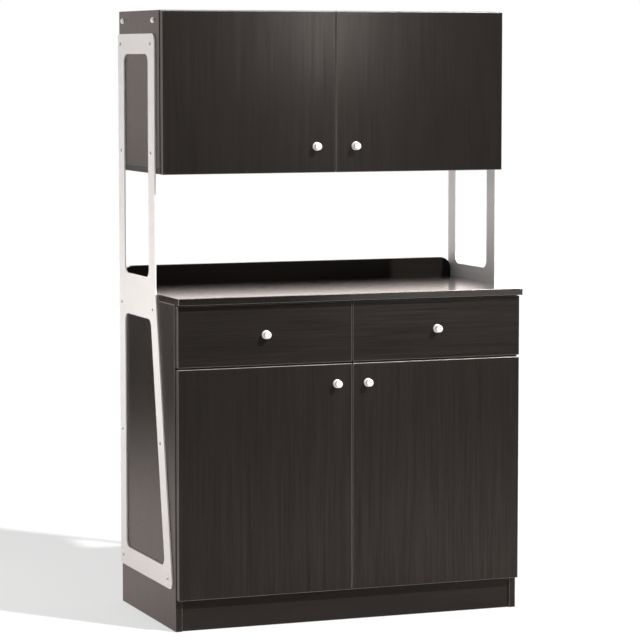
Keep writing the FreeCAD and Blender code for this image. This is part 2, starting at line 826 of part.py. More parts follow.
def make_drawer(side):
    """One drawer: front, box, bottom, knob and the runner members that move with it."""
    bay_left = -inner_half
    bay_right = -board_thickness / 2
    box_left = bay_left + runner_gap
    box_right = bay_right - runner_gap
    box_front = base_front - front_gap
    box_back = box_front + box_depth
    box_bottom = drawer_shelf_top + box_above_shelf
    box_top = box_bottom + box_height
    inner_left = box_left + box_board
    inner_right = box_right - box_board
    panel_low = box_bottom + box_bottom_rise
    panel_high = panel_low + box_bottom_thickness
    groove = block(inner_left - groove_depth, inner_right + groove_depth,
                   box_front + box_board - groove_depth, box_back - box_board + groove_depth,
                   panel_low - groove_clearance / 2, panel_high + groove_clearance / 2)
    knob_x = (-half_width + side_reveal - middle_gap / 2) / 2
    knob_z = (drawer_front_bottom + drawer_front_top) / 2
    knob_hole = rod(knob_screw_radius + hole_clearance,
                    front_thickness + box_board + 2 * cut_overlap,
                    Vector(knob_x, box_front + box_board + cut_overlap, knob_z), Vector(0, -1, 0))
    boards = [
        block(box_left, inner_left, box_front, box_back, box_bottom, box_top),
        block(inner_right, box_right, box_front, box_back, box_bottom, box_top),
        block(inner_left, inner_right, box_front, box_front + box_board, box_bottom, box_top),
        block(inner_left, inner_right, box_back - box_board, box_back, box_bottom, box_top),
    ]
    box = group([piece.cut([groove, knob_hole]) for piece in boards])
    slack = groove_clearance
    bottom = block(inner_left - groove_depth + slack, inner_right + groove_depth - slack,
                   box_front + box_board - groove_depth + slack,
                   box_back - box_board + groove_depth - slack, panel_low, panel_high)
    front_left = -half_width + side_reveal
    front = board(front_left, front_left + front_width, front_face, box_front,
                  drawer_front_bottom, drawer_front_top, front_edge_radius).cut(knob_hole)
    centre_z = box_bottom + runner_rise
    start_y = base_front + runner_from_front
    drawer_rails = group(both_walls(drawer_profile(), bay_left, bay_right, centre_z, start_y))
    middle_rails = group(both_walls(middle_profile(), bay_left, bay_right, centre_z, start_y))
    pieces = {
        "front": front,
        "box": box,
        "bottom": bottom,
        "knob": knob(front_face, knob_x, knob_z, front_thickness + box_board),
        "rails": drawer_rails,
        "middle_rails": middle_rails,
    }
    for name, shape in pieces.items():
        placed = shape if side == "left" else mirrored(shape)
        save("drawer_" + side + "_" + name, placed)
    return both_walls(cabinet_profile(), bay_left, bay_right, centre_z, start_y)


def both_sides(solids):
    """Solids of the left side with their twins on the right."""
    return solids + [mirrored(solid) for solid in solids]


# Base cabinet
left_base_side = base_side()
save("base_side_left", left_base_side)
save("base_side_right", mirrored(left_base_side))
save("base_bottom", board(-inner_half, inner_half, base_front, base_depth,
                          plinth_height, bottom_top))
save("plinth_boards", group([
    board(-inner_half, inner_half, base_front + plinth_setback,
          base_front + plinth_setback + board_thickness, 0, plinth_height),
    board(-inner_half, inner_half, base_depth - board_thickness, base_depth, 0, plinth_height),
]))
save("base_back", block(-inner_half, inner_half, inside_back, base_depth,
                        bottom_top, worktop_bottom))
save("drawer_shelf", board(-inner_half, inner_half, base_front, inside_back,
                           drawer_shelf_bottom, drawer_shelf_top))
save("drawer_divider", board(-board_thickness / 2, board_thickness / 2, base_front, inside_back,
                             drawer_shelf_top, rail_bottom))
save("top_rails", group([
    board(-inner_half, inner_half, base_front, base_front + top_rail_depth,
          rail_bottom, worktop_bottom),
    board(-inner_half, inner_half, inside_back - top_rail_depth, inside_back,
          rail_bottom, worktop_bottom),
]))
save("base_shelf", board(-inner_half + shelf_side_clearance, inner_half - shelf_side_clearance,
                         base_front + shelf_front_setback, inside_back - shelf_back_clearance,
                         base_shelf_bottom, base_shelf_bottom + board_thickness))
save("worktop", board(-half_width, half_width, worktop_front, base_depth,
                      worktop_bottom, worktop_height))
save("upstand", upstand_board())

# Upper cabinet
left_upper_side = upper_side()
save("upper_side_left", left_upper_side)
save("upper_side_right", mirrored(left_upper_side))
save("upper_bottom", board(-half_width, half_width, upper_front, base_depth,
                           upper_bottom_height, upper_side_bottom))
save("upper_top", board(-inner_half, inner_half, upper_front, base_depth,
                        upper_top_bottom, total_height))
save("upper_back", block(-inner_half, inner_half, inside_back, base_depth,
                         upper_side_bottom, upper_top_bottom))
save("upper_shelf", board(-inner_half + shelf_side_clearance, inner_half - shelf_side_clearance,
                          upper_front + shelf_front_setback, inside_back - shelf_back_clearance,
                          upper_shelf_bottom, upper_shelf_bottom + board_thickness))
save("shelf_pins", group(both_sides(shelf_pin(base_front, base_shelf_bottom)
                                    + shelf_pin(upper_front, upper_shelf_bottom))))

# Side frames and what fastens them
left_frame = frame_plate()
save("frame_left", left_frame)
save("frame_right", mirrored(left_frame))
save("frame_screws", group(both_sides([frame_screw(*p) for p in frame_screw_places()])))
save("support_studs", group(both_sides([support_stud(*p) for p in stud_places()])))
joining_solids = []
for joining_place in joining_places():
    joining_solids.extend(joining_bolt(*joining_place))
save("joining_bolts", group(both_sides(joining_solids)))

# Fixed halves of the hinges
hinge_spots = [(base_front, height) for height in lower_hinges]
hinge_spots += [(upper_front, height) for height in upper_hinges]
save("hinge_arms", group(both_sides([hinge_arm(*spot) for spot in hinge_spots])))
save("hinge_plates", group(both_sides([hinge_plate(*spot) for spot in hinge_spots])))
plate_screw_solids = []
for spot in hinge_spots:
    plate_screw_solids.extend(plate_screws(*spot))
save("hinge_plate_screws", group(both_sides(plate_screw_solids)))

# Doors
for door_side in ("left", "right"):
    make_door(door_side, "lower", base_front, lower_door_bottom, lower_door_top, lower_hinges,
              lower_knob_from_edge, lower_door_top - lower_knob_from_top)
    make_door(door_side, "upper", upper_front, upper_door_bottom, upper_door_top, upper_hinges,
              upper_knob_from_edge, upper_door_bottom + upper_knob_from_bottom)

# Drawers, and the runner channels that stay in the cabinet
cabinet_rails = []
for drawer_side in ("left", "right"):
    fixed = make_drawer(drawer_side)
    if drawer_side == "right":
        fixed = [mirrored(rail) for rail in fixed]
    cabinet_rails.extend(fixed)
save("cabinet_rails", group(cabinet_rails))
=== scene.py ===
# Waiter station: materials, small metal parts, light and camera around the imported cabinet.
# Metres throughout. The front is -Y, the left side is -X and up is +Z.
import math

import bpy
from mathutils import Euler, Matrix, Vector


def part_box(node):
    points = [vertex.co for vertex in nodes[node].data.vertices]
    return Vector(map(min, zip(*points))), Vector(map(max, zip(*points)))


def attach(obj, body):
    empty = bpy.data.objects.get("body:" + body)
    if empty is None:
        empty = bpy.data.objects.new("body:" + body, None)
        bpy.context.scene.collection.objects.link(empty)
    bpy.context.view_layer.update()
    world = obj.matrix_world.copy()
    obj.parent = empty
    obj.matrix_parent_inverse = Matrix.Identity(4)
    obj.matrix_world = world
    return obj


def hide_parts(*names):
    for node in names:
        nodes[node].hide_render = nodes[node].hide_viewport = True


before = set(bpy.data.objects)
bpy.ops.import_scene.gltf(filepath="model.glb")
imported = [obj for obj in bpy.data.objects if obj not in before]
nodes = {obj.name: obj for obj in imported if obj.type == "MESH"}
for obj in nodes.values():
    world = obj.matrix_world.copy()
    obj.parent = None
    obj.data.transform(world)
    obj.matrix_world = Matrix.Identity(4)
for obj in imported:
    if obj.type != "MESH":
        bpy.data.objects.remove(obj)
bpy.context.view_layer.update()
scene = bpy.context.scene
scene.view_settings.view_transform = "Standard"
print("cabinet loaded:", len(nodes), "nodes")

mm = 0.001
sides = ("left", "right")
levels = ("lower", "upper")


# Camera, solved from the straight edges of the cabinet

cameraSettings = {
    "place": (-2.7004, -7.0242, 1.4569),
    "turnRight": 21.02,
    "tiltDown": 5.284,
    "lens": 161.4,
}


def addCamera():
    turn = (math.radians(90 - cameraSettings["tiltDown"]), 0, -math.radians(cameraSettings["turnRight"]))
    bpy.ops.object.camera_add(location=cameraSettings["place"], rotation=turn)
    camera = bpy.context.object
    camera.data.lens = cameraSettings["lens"]
    camera.data.sensor_width = 36
    camera.data.clip_end = 100
    scene.camera = camera


addCamera()
print("camera placed")


# Modelling helpers

outwards = {
    "front": (math.radians(90), 0, 0),
    "back": (math.radians(-90), 0, 0),
    "left": (0, math.radians(-90), 0),
    "right": (0, math.radians(90), 0),
}


def selectOnly(piece):
    bpy.ops.object.select_all(action="DESELECT")
    piece.select_set(True)
    bpy.context.view_layer.objects.active = piece


def applyPlace(piece):
    selectOnly(piece)
    bpy.ops.object.transform_apply(location=True, rotation=True, scale=True)


def smoothFinish(piece, sharpAngle=32):
    selectOnly(piece)
    bpy.ops.object.shade_smooth_by_angle(angle=math.radians(sharpAngle))


# rings lists radius and distance along the axis, both in millimetres
def turnPiece(name, rings, direction="front", segments=48):
    bpy.ops.object.select_all(action="DESELECT")
    turn = outwards[direction]
    axis = Euler(turn).to_matrix() @ Vector((0, 0, 1))
    radius, along = rings[0]
    bpy.ops.mesh.primitive_circle_add(vertices=segments, radius=radius * mm, fill_type="NGON",
                                      location=axis * along * mm, rotation=turn)
    piece = bpy.context.object
    piece.name = name
    bpy.ops.object.mode_set(mode="EDIT")
    bpy.ops.mesh.select_mode(type="FACE")
    bpy.ops.mesh.select_all(action="SELECT")
    for nextRadius, nextAlong in rings[1:]:
        step = axis * (nextAlong - along) * mm
        bpy.ops.mesh.extrude_region_move(TRANSFORM_OT_translate={"value": step})
        share = nextRadius / radius
        bpy.ops.transform.resize(value=(share, share, share), center_override=axis * nextAlong * mm)
        radius, along = nextRadius, nextAlong
    bpy.ops.mesh.select_all(action="SELECT")
    bpy.ops.mesh.normals_make_consistent(inside=False)
    bpy.ops.object.mode_set(mode="OBJECT")
    applyPlace(piece)
    return piece


# A rounded corner between two directions, as rings
def roundRings(centreRadius, centreAlong, bend, fromAngle, toAngle, count=5):
    rings = []
    for i in range(count + 1):
        angle = math.radians(fromAngle + (toAngle - fromAngle) * i / count)
        rings.append((centreRadius + bend * math.cos(angle), centreAlong + bend * math.sin(angle)))
    return rings


# A shallow dome that ends in a small flat at the middle
def domeRings(radius, base, rise, flat, count=8):
    ball = (radius * radius + rise * rise) / (2 * rise)
    rings = []
    for i in range(1, count + 1):
        r = radius + (flat - radius) * i / count
        rings.append((r, base + rise - ball + math.sqrt(ball * ball - r * r)))
    return rings


def applyChange(piece, change):
    selectOnly(piece)
    bpy.ops.object.modifier_apply(modifier=change.name)


def carve(piece, tool):
    change = piece.modifiers.new("carve", "BOOLEAN")
    change.operation = "DIFFERENCE"
    change.solver = "EXACT"
    change.object = tool
    applyChange(piece, change)
    bpy.data.objects.remove(tool)


def joinPieces(name, pieces):
    bpy.ops.object.select_all(action="DESELECT")
    for piece in pieces:
        piece.select_set(True)
    bpy.context.view_layer.objects.active = pieces[0]
    if len(pieces) > 1:
        bpy.ops.object.join()
    joined = bpy.context.view_layer.objects.active
    joined.name = name
    joined.data.name = name
    return joined


def placeCopy(master, place, turn=(0, 0, 0)):
    copied = master.copy()
    copied.data = master.data.copy()
    scene.collection.objects.link(copied)
    copied.data.transform(Matrix.Translation(place) @ Euler(turn).to_matrix().to_4x4())
    return copied


def dropMaster(master):
    bpy.data.objects.remove(master)


# The boxes of the separate solids in a CAD node, read from a merged copy
def solidBoxes(nodeName):
    copied = nodes[nodeName].copy()
    copied.data = copied.data.copy()
    copied.parent = None
    scene.collection.objects.link(copied)
    selectOnly(copied)
    bpy.ops.object.mode_set(mode="EDIT")
    bpy.ops.mesh.select_all(action="SELECT")
    bpy.ops.mesh.remove_doubles(threshold=0.000001)
    bpy.ops.mesh.separate(type="LOOSE")
    bpy.ops.object.mode_set(mode="OBJECT")
    boxes = []
    for piece in list(bpy.context.selected_objects):
        corners = [vertex.co for vertex in piece.data.vertices]
        low = Vector([min(c[i] for c in corners) for i in range(3)])
        high = Vector([max(c[i] for c in corners) for i in range(3)])
        boxes.append((low, high))
        bpy.data.objects.remove(piece)
    return boxes


# Shared node effects

def addSockets(group, kind, sockets):
    for name, socketType in sockets:
        group.interface.new_socket(name=name, in_out=kind, socket_type=socketType)


def mathNode(tree, operation, first, second):
    node = tree.nodes.new("ShaderNodeMath")
    node.operation = operation
    for i, value in enumerate((first, second)):
        if isinstance(value, (int, float)):
            node.inputs[i].default_value = value
        else:
            tree.links.new(value, node.inputs[i])
    return node.outputs[0]


def noiseNode(tree, vector, scale, detail=3.0, roughness=0.55):
    node = tree.nodes.new("ShaderNodeTexNoise")
    node.inputs["Scale"].default_value = scale
    node.inputs["Detail"].default_value = detail
    node.inputs["Roughness"].default_value = roughness
    tree.links.new(vector, node.inputs["Vector"])
    return node.outputs["Fac"]


def rangeNode(tree, value, fromMin, fromMax, toMin, toMax):
    node = tree.nodes.new("ShaderNodeMapRange")
    for socket, number in (("From Min", fromMin), ("From Max", fromMax), ("To Min", toMin), ("To Max", toMax)):
        if isinstance(number, (int, float)):
            node.inputs[socket].default_value = number
        else:
            tree.links.new(number, node.inputs[socket])
    tree.links.new(value, node.inputs["Value"])
    return node.outputs["Result"]


def mixColours(tree, amount, first, second, blend="MIX"):
    node = tree.nodes.new("ShaderNodeMix")
    node.data_type = "RGBA"
    node.blend_type = blend
    for socket, value in ((node.inputs[0], amount), (node.inputs[6], first), (node.inputs[7], second)):
        if isinstance(value, bpy.types.NodeSocket):
            tree.links.new(value, socket)
        else:
            socket.default_value = value
    return node.outputs[2]


def scaledVector(tree, vector, scale):
    node = tree.nodes.new("ShaderNodeMapping")
    node.inputs["Scale"].default_value = scale
    tree.links.new(vector, node.inputs["Vector"])
    return node.outputs["Vector"]


# One where the surface turns between its flat faces, nought on the faces themselves
def edgeMask(tree, facing):
    split = tree.nodes.new("ShaderNodeSeparateXYZ")
    tree.links.new(facing, split.inputs[0])
    along = [mathNode(tree, "ABSOLUTE", split.outputs[axis], 0.0) for axis in ("X", "Y", "Z")]
    flattest = mathNode(tree, "MAXIMUM", mathNode(tree, "MAXIMUM", along[0], along[1]), along[2])
    return rangeNode(tree, flattest, 0.985, 0.94, 0.0, 1.0)


# Wood grain printed and pressed on laminate: long soft streaks and short pores that darken the
# colour and dull the lacquer. The grain runs along Z of the vector that comes in. Where the
# surface turns at an edge a glossier edge band shows instead, and its much paler colour is a
# painted highlight along the rounded edges.
def buildWoodGrain():
    group = bpy.data.node_groups.new("woodGrain", "ShaderNodeTree")
    addSockets(group, "INPUT", (("Vector", "NodeSocketVector"), ("Facing", "NodeSocketVector"),
                                ("Wood", "NodeSocketColor"), ("Pore", "NodeSocketColor"),
                                ("Edge Band Glint", "NodeSocketColor"), ("Streaks", "NodeSocketFloat"),
                                ("Pores", "NodeSocketFloat"), ("Gloss", "NodeSocketFloat"),
                                ("Lacquer", "NodeSocketFloat"), ("Band Lacquer", "NodeSocketFloat")))
    addSockets(group, "OUTPUT", (("Color", "NodeSocketColor"), ("Coat", "NodeSocketFloat"),
                                 ("Roughness", "NodeSocketFloat"), ("Height", "NodeSocketFloat")))
    given = group.nodes.new("NodeGroupInput")
    made = group.nodes.new("NodeGroupOutput")
    vector = given.outputs["Vector"]
    streak = noiseNode(group, scaledVector(group, vector, (260, 260, 4.5)), 1.0, 4.0, 0.6)
    figure = noiseNode(group, scaledVector(group, vector, (85, 85, 2.4)), 1.0, 3.0, 0.55)
    pore = noiseNode(group, scaledVector(group, vector, (900, 900, 36)), 1.0, 2.0, 0.5)
    cloud = noiseNode(group, scaledVector(group, vector, (9, 9, 5)), 1.0, 2.0, 0.5)
    poreMask = mathNode(group, "MULTIPLY", rangeNode(group, pore, 0.56, 0.66, 0.0, 1.0), given.outputs["Pores"])
    blended = mathNode(group, "ADD", mathNode(group, "MULTIPLY", streak, 0.7),
                       mathNode(group, "MULTIPLY", figure, 0.3))
    centred = mathNode(group, "MULTIPLY", mathNode(group, "SUBTRACT", blended, 0.5), given.outputs["Streaks"])
    lightness = mathNode(group, "ADD", mathNode(group, "MULTIPLY", centred, 2.0), 1.0)
    tone = group.nodes.new("ShaderNodeCombineColor")
    for channel in range(3):
        group.links.new(lightness, tone.inputs[channel])
    # Mask of the rounded edges, where the pale band colour paints a highlight and the band lacquer goes
    edgeBandGlint = edgeMask(group, given.outputs["Facing"])
    toned = mixColours(group, 1.0, given.outputs["Wood"], tone.outputs["Color"], "MULTIPLY")
    printed = mixColours(group, poreMask, toned, given.outputs["Pore"])
    group.links.new(mixColours(group, edgeBandGlint, printed, given.outputs["Edge Band Glint"]), made.inputs["Color"])
    covered = mathNode(group, "SUBTRACT", lightness, mathNode(group, "MULTIPLY", poreMask, 0.5))
    lacquered = mathNode(group, "MULTIPLY", covered, given.outputs["Lacquer"])
    group.links.new(rangeNode(group, edgeBandGlint, 0.0, 1.0, lacquered, given.outputs["Band Lacquer"]),
                    made.inputs["Coat"])
    cloudy = mathNode(group, "MULTIPLY", mathNode(group, "SUBTRACT", cloud, 0.5), 0.06)
    rougher = mathNode(group, "SUBTRACT", mathNode(group, "MULTIPLY", poreMask, 0.1),
                       mathNode(group, "MULTIPLY", centred, 0.15))
    gloss = mathNode(group, "ADD", mathNode(group, "ADD", given.outputs["Gloss"], cloudy), rougher)
    group.links.new(gloss, made.inputs["Roughness"])
    height = mathNode(group, "SUBTRACT", mathNode(group, "MULTIPLY", streak, 0.4), poreMask)
    group.links.new(height, made.inputs["Height"])
    return group


# Fine parallel brushing on metal, along Z of the vector that comes in
def buildBrushing():
    group = bpy.data.node_groups.new("brushing", "ShaderNodeTree")
    addSockets(group, "INPUT", (("Vector", "NodeSocketVector"), ("Metal", "NodeSocketColor"),
                                ("Gloss", "NodeSocketFloat"), ("Spread", "NodeSocketFloat")))
    addSockets(group, "OUTPUT", (("Color", "NodeSocketColor"), ("Roughness", "NodeSocketFloat"),
                                 ("Height", "NodeSocketFloat")))
    given = group.nodes.new("NodeGroupInput")
    made = group.nodes.new("NodeGroupOutput")
    vector = given.outputs["Vector"]
    lines = noiseNode(group, scaledVector(group, vector, (2400, 2400, 22)), 1.0, 3.0, 0.6)
    patch = noiseNode(group, scaledVector(group, vector, (14, 14, 6)), 1.0, 2.0, 0.5)
    centred = mathNode(group, "SUBTRACT", lines, 0.5)
    lightness = mathNode(group, "ADD", mathNode(group, "MULTIPLY", centred, given.outputs["Spread"]), 1.0)
    tone = group.nodes.new("ShaderNodeCombineColor")
    for channel in range(3):
        group.links.new(lightness, tone.inputs[channel])
    colour = mixColours(group, 1.0, given.outputs["Metal"], tone.outputs["Color"], "MULTIPLY")
    group.links.new(colour, made.inputs["Color"])
    uneven = mathNode(group, "ADD", mathNode(group, "MULTIPLY", centred, 0.16),
                      mathNode(group, "MULTIPLY", mathNode(group, "SUBTRACT", patch, 0.5), 0.08))
    group.links.new(mathNode(group, "ADD", given.outputs["Gloss"], uneven), made.inputs["Roughness"])
    group.links.new(lines, made.inputs["Height"])
    return group


woodGrain = buildWoodGrain()
brushing = buildBrushing()


# Materials

def newMaterial(name):
    material = bpy.data.materials.new(name)
    material.use_nodes = True
    tree = material.node_tree
    shader = tree.nodes["Principled BSDF"]
    return material, tree, shader


def objectVector(tree, grainTurn):
    place = tree.nodes.new("ShaderNodeTexCoord")
    mapping = tree.nodes.new("ShaderNodeMapping")
    mapping.inputs["Rotation"].default_value = grainTurn
    tree.links.new(place.outputs["Object"], mapping.inputs["Vector"])
    return mapping.outputs["Vector"]


def addEffect(tree, group, vector, values):
    node = tree.nodes.new("ShaderNodeGroup")
    node.node_tree = group
    tree.links.new(vector, node.inputs["Vector"])
    for name, value in values.items():
        node.inputs[name].default_value = value
    return node


def addRelief(tree, shader, effect, depth):
    bump = tree.nodes.new("ShaderNodeBump")
    bump.inputs["Strength"].default_value = 0.5
    bump.inputs["Distance"].default_value = depth
    tree.links.new(effect.outputs["Height"], bump.inputs["Height"])
    tree.links.new(bump.outputs["Normal"], shader.inputs["Normal"])


grainTurns = {
    "upright": (0, 0, 0),
    "level": (0, math.radians(90), 0),
    "inward": (math.radians(90), 0, 0),
}

laminate = {
    "wood": (0.0092, 0.0076, 0.0065, 1),
    "pore": (0.0045, 0.0037, 0.0031, 1),
    # The band colour, far paler than the wood, is a painted highlight on the rounded edges of the laminate
    "edgeBandGlint": (0.11, 0.097, 0.088, 1),
    "tint": (0.85, 0.745, 0.66, 1),
    "bandLacquer": 1.0,
}


# A satin laminate, with a thinner and sharper shine of its lacquer on top
def laminateMaterial(name, grain, gloss, lacquer, lacquerGloss, streaks=0.5, pores=0.4, relief=0.00004,
                     shine=0.19):
    material, tree, shader = newMaterial(name)
    effect = addEffect(tree, woodGrain, objectVector(tree, grainTurns[grain]), {
        "Wood": laminate["wood"], "Pore": laminate["pore"], "Edge Band Glint": laminate["edgeBandGlint"],
        "Streaks": streaks, "Pores": pores, "Gloss": gloss, "Lacquer": lacquer,
        "Band Lacquer": laminate["bandLacquer"]})
    place = tree.nodes.new("ShaderNodeTexCoord")
    tree.links.new(place.outputs["Normal"], effect.inputs["Facing"])
    tree.links.new(effect.outputs["Color"], shader.inputs["Base Color"])
    tree.links.new(effect.outputs["Roughness"], shader.inputs["Roughness"])
    tree.links.new(effect.outputs["Coat"], shader.inputs["Coat Weight"])
    shader.inputs["Specular Tint"].default_value = laminate["tint"]
    shader.inputs["Specular IOR Level"].default_value = shine
    shader.inputs["Coat Roughness"].default_value = lacquerGloss
    addRelief(tree, shader, effect, relief)
    return material


def metalMaterial(name, colour, gloss, grain="upright", spread=0.1, relief=0.00002, metallic=1.0):
    material, tree, shader = newMaterial(name)
    effect = addEffect(tree, brushing, objectVector(tree, grainTurns[grain]), {
        "Metal": colour, "Gloss": gloss, "Spread": spread})
    tree.links.new(effect.outputs["Color"], shader.inputs["Base Color"])
    tree.links.new(effect.outputs["Roughness"], shader.inputs["Roughness"])
    shader.inputs["Metallic"].default_value = metallic
    addRelief(tree, shader, effect, relief)
    return material


# Light grey melamine of the drawer boxes: a faint orange-peel and specks
def melamineMaterial(name, colour, gloss):
    material, tree, shader = newMaterial(name)
    vector = objectVector(tree, grainTurns["upright"])
    peel = noiseNode(tree, vector, 900.0, 2.0, 0.5)
    specks = rangeNode(tree, noiseNode(tree, vector, 260.0, 2.0, 0.5), 0.35, 0.65, 0.0, 1.0)
    dull = tuple(c * 0.93 for c in colour[:3]) + (1,)
    tree.links.new(mixColours(tree, specks, dull, colour), shader.inputs["Base Color"])
    tree.links.new(rangeNode(tree, peel, 0.3, 0.7, gloss - 0.04, gloss + 0.04), shader.inputs["Roughness"])
    bump = tree.nodes.new("ShaderNodeBump")
    bump.inputs["Strength"].default_value = 0.3
    bump.inputs["Distance"].default_value = 0.00005
    tree.links.new(peel, bump.inputs["Height"])
    tree.links.new(bump.outputs["Normal"], shader.inputs["Normal"])
    return material


doorLaminate = laminateMaterial("doorLaminate", "upright", 0.37, 0.48, 0.22, streaks=1.1,
                                shine=0.28)
drawerLaminate = laminateMaterial("drawerLaminate", "level", 0.38, 0.44, 0.22, streaks=1.7,
                                  shine=0.28)
sideLaminate = laminateMaterial("sideLaminate", "upright", 0.28, 0.25, 0.18, streaks=0.15, relief=0.000003,
                                shine=0.42)
boardLaminate = laminateMaterial("boardLaminate", "level", 0.40, 0.3, 0.25, shine=0.28)
# A duller copy of the board laminate: its lower shine and lacquer paint shade on the upstand under the upper
# cabinet
shadedUpstandLaminate = laminateMaterial("shadedUpstandLaminate", "level", 0.30, 0.1, 0.25, shine=0.14)
worktopLaminate = laminateMaterial("worktopLaminate", "level", 0.24, 1.0, 0.16, streaks=0.3, relief=0.000003)
worktopLaminate.node_tree.nodes["Principled BSDF"].inputs["Coat IOR"].default_value = 1.75
backBoard = laminateMaterial("backBoard", "upright", 0.6, 0.0, 0.3, streaks=0.4)
drawerMelamine = melamineMaterial("drawerMelamine", (0.52, 0.51, 0.49, 1), 0.42)
satinFrame = metalMaterial("satinFrame", (0.88, 0.88, 0.88, 1), 0.54, "upright", 0.08, metallic=0.5)
polishedMetal = metalMaterial("polishedMetal", (0.95, 0.94, 0.93, 1), 0.34, "inward", 0.03, 0.000005,
                               metallic=0.4)
screwSteel = metalMaterial("screwSteel", (0.50, 0.50, 0.51, 1), 0.20, "inward", 0.05, 0.000005)
zincSteel = metalMaterial("zincSteel", (0.62, 0.63, 0.64, 1), 0.30, "inward", 0.14)
nickelSteel = metalMaterial("nickelSteel", (0.66, 0.64, 0.61, 1), 0.24, "upright", 0.08)

finishes = {
    "base_side_left": sideLaminate, "base_side_right": sideLaminate,
    "upper_side_left": sideLaminate, "upper_side_right": sideLaminate,
    "drawer_divider": sideLaminate,
    "base_bottom": boardLaminate, "plinth_boards": boardLaminate, "drawer_shelf": boardLaminate,
    "top_rails": boardLaminate, "base_shelf": boardLaminate, "upstand": shadedUpstandLaminate,
    "upper_bottom": boardLaminate, "upper_top": boardLaminate, "upper_shelf": boardLaminate,
    "worktop": worktopLaminate,
    "base_back": backBoard, "upper_back": backBoard,
    "frame_left": satinFrame, "frame_right": satinFrame,
    "frame_screws": screwSteel, "support_studs": polishedMetal, "joining_bolts": polishedMetal,
    "shelf_pins": nickelSteel, "hinge_arms": nickelSteel, "hinge_plates": nickelSteel,
    "hinge_plate_screws": zincSteel, "cabinet_rails": zincSteel,
}
for side in sides:
    for level in levels:
        start = level + "_" + side
        finishes[start + "_door"] = doorLaminate
        finishes[start + "_knob"] = polishedMetal
        finishes[start + "_hinge_cups"] = nickelSteel
        finishes[start + "_hinge_pins"] = zincSteel
        finishes[start + "_cup_screws"] = zincSteel
    start = "drawer_" + side
    finishes[start + "_front"] = drawerLaminate
    finishes[start + "_box"] = drawerMelamine
    finishes[start + "_bottom"] = drawerMelamine
    finishes[start + "_knob"] = polishedMetal
    finishes[start + "_rails"] = zincSteel
    finishes[start + "_middle_rails"] = zincSteel


def dress(piece, material):
    if not piece.material_slots:
        piece.data.materials.append(material)
    for slot in piece.material_slots:
        slot.material = material


for nodeName, piece in nodes.items():
    dress(piece, finishes[nodeName])
print("materials on", len(finishes), "nodes")


# Turned knobs, each with the screw that holds it from behind

knob = {
    "baseRadius": 11.0, "baseThickness": 4.0, "baseRound": 0.8,
    "neckRadius": 7.5, "capRadius": 9.2, "capStart": 11.0, "capRound": 1.2,
    "reach": 19.0, "crown": 0.8,
    "screwRadius": 2.0, "screwGrip": 10.0, "headRadius": 4.0, "headHeight": 2.3,
}


def knobBody():
    k = knob
    rings = [(k["baseRadius"] - 0.3, 0.0), (k["baseRadius"], 0.3)]
    rings += roundRings(k["baseRadius"] - k["baseRound"], k["baseThickness"] - k["baseRound"],
                        k["baseRound"], 0, 90)
    first = (k["baseRadius"] - k["baseRound"], k["baseThickness"])
    last = (k["capRadius"] - 0.3, k["capStart"])
    dip = (first[0] + last[0]) / 2 - k["neckRadius"]
    for i in range(1, 15):
        t = i / 15
        radius = first[0] + (last[0] - first[0]) * t - dip * 4 * t * (1 - t)
        rings.append((radius, first[1] + (last[1] - first[1]) * t))
    rings += [last, (k["capRadius"], k["capStart"] + 0.3)]
    shoulder = k["reach"] - k["crown"]
    inner = k["capRadius"] - k["capRound"]
    rings += roundRings(inner, shoulder - k["capRound"], k["capRound"], 0, 84, 7)
    rings += domeRings(inner, shoulder, k["crown"], 0.4)
    body = turnPiece("knobBody", rings, "front", 64)
    smoothFinish(body, 40)
    return body


def knobScrew(length):
    k = knob
    rings = [(k["screwRadius"] - 0.4, -k["screwGrip"]), (k["screwRadius"], -k["screwGrip"] + 0.4),
             (k["screwRadius"], length), (k["headRadius"], length),
             (k["headRadius"], length + 1.0)]
    rings += domeRings(k["headRadius"], length + 1.0, k["headHeight"] - 1.0, 0.5, 6)
    screw = turnPiece("knobScrew", rings, "back", 32)
    crossRecess(screw, Vector((0, (length + k["headHeight"]) * mm, 0)), "back", 3.2, 0.8, 1.2)
    smoothFinish(screw)
    return screw


# A cross-shaped recess, cut by two crossed bars that taper to the bottom
def crossRecess(screw, top, direction, width, thickness, depth):
    turn = outwards[direction]
    for spin in (0, 90):
        bpy.ops.object.select_all(action="DESELECT")
        bpy.ops.mesh.primitive_cube_add(size=1, location=(0, 0, 0))
        bar = bpy.context.object
        bar.data.transform(Matrix.Diagonal((width * mm, thickness * mm, 2 * depth * mm, 1)))
        bpy.ops.object.mode_set(mode="EDIT")
        bpy.ops.mesh.select_mode(type="FACE")
        bpy.ops.mesh.select_all(action="DESELECT")
        bpy.ops.object.mode_set(mode="OBJECT")
        for face in bar.data.polygons:
            face.select = face.normal.z < -0.9
        bpy.ops.object.mode_set(mode="EDIT")
        bpy.ops.transform.resize(value=(0.45, 0.7, 1), center_override=(0, 0, 0))
        bpy.ops.object.mode_set(mode="OBJECT")
        place = Matrix.Translation(top) @ Euler(turn).to_matrix().to_4x4()
        bar.data.transform(place @ Matrix.Rotation(math.radians(spin), 4, "Z"))
        carve(screw, bar)


def addKnobs():
    body = knobBody()
    screws = {}
    starts = ["drawer_" + side for side in sides]
    starts += [level + "_" + side for level in levels for side in sides]
    for start in starts:
        low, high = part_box(start + "_knob")
        seat = Vector(((low.x + high.x) / 2, low.y + knob["reach"] * mm, (low.z + high.z) / 2))
        length = round((high.y - seat.y) / mm - knob["headHeight"], 1)
        if length not in screws:
            screws[length] = knobScrew(length)
        made = joinPieces(start + "_turned_knob", [placeCopy(body, seat), placeCopy(screws[length], seat)])
        dress(made, polishedMetal)
        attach(made, start if start.startswith("drawer") else start + "_door")
        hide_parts(start + "_knob")
    dropMaster(body)
    for screw in screws.values():
        dropMaster(screw)


addKnobs()
print("knobs turned")


# Button-head screws, support pins and joining bolts at the side frames

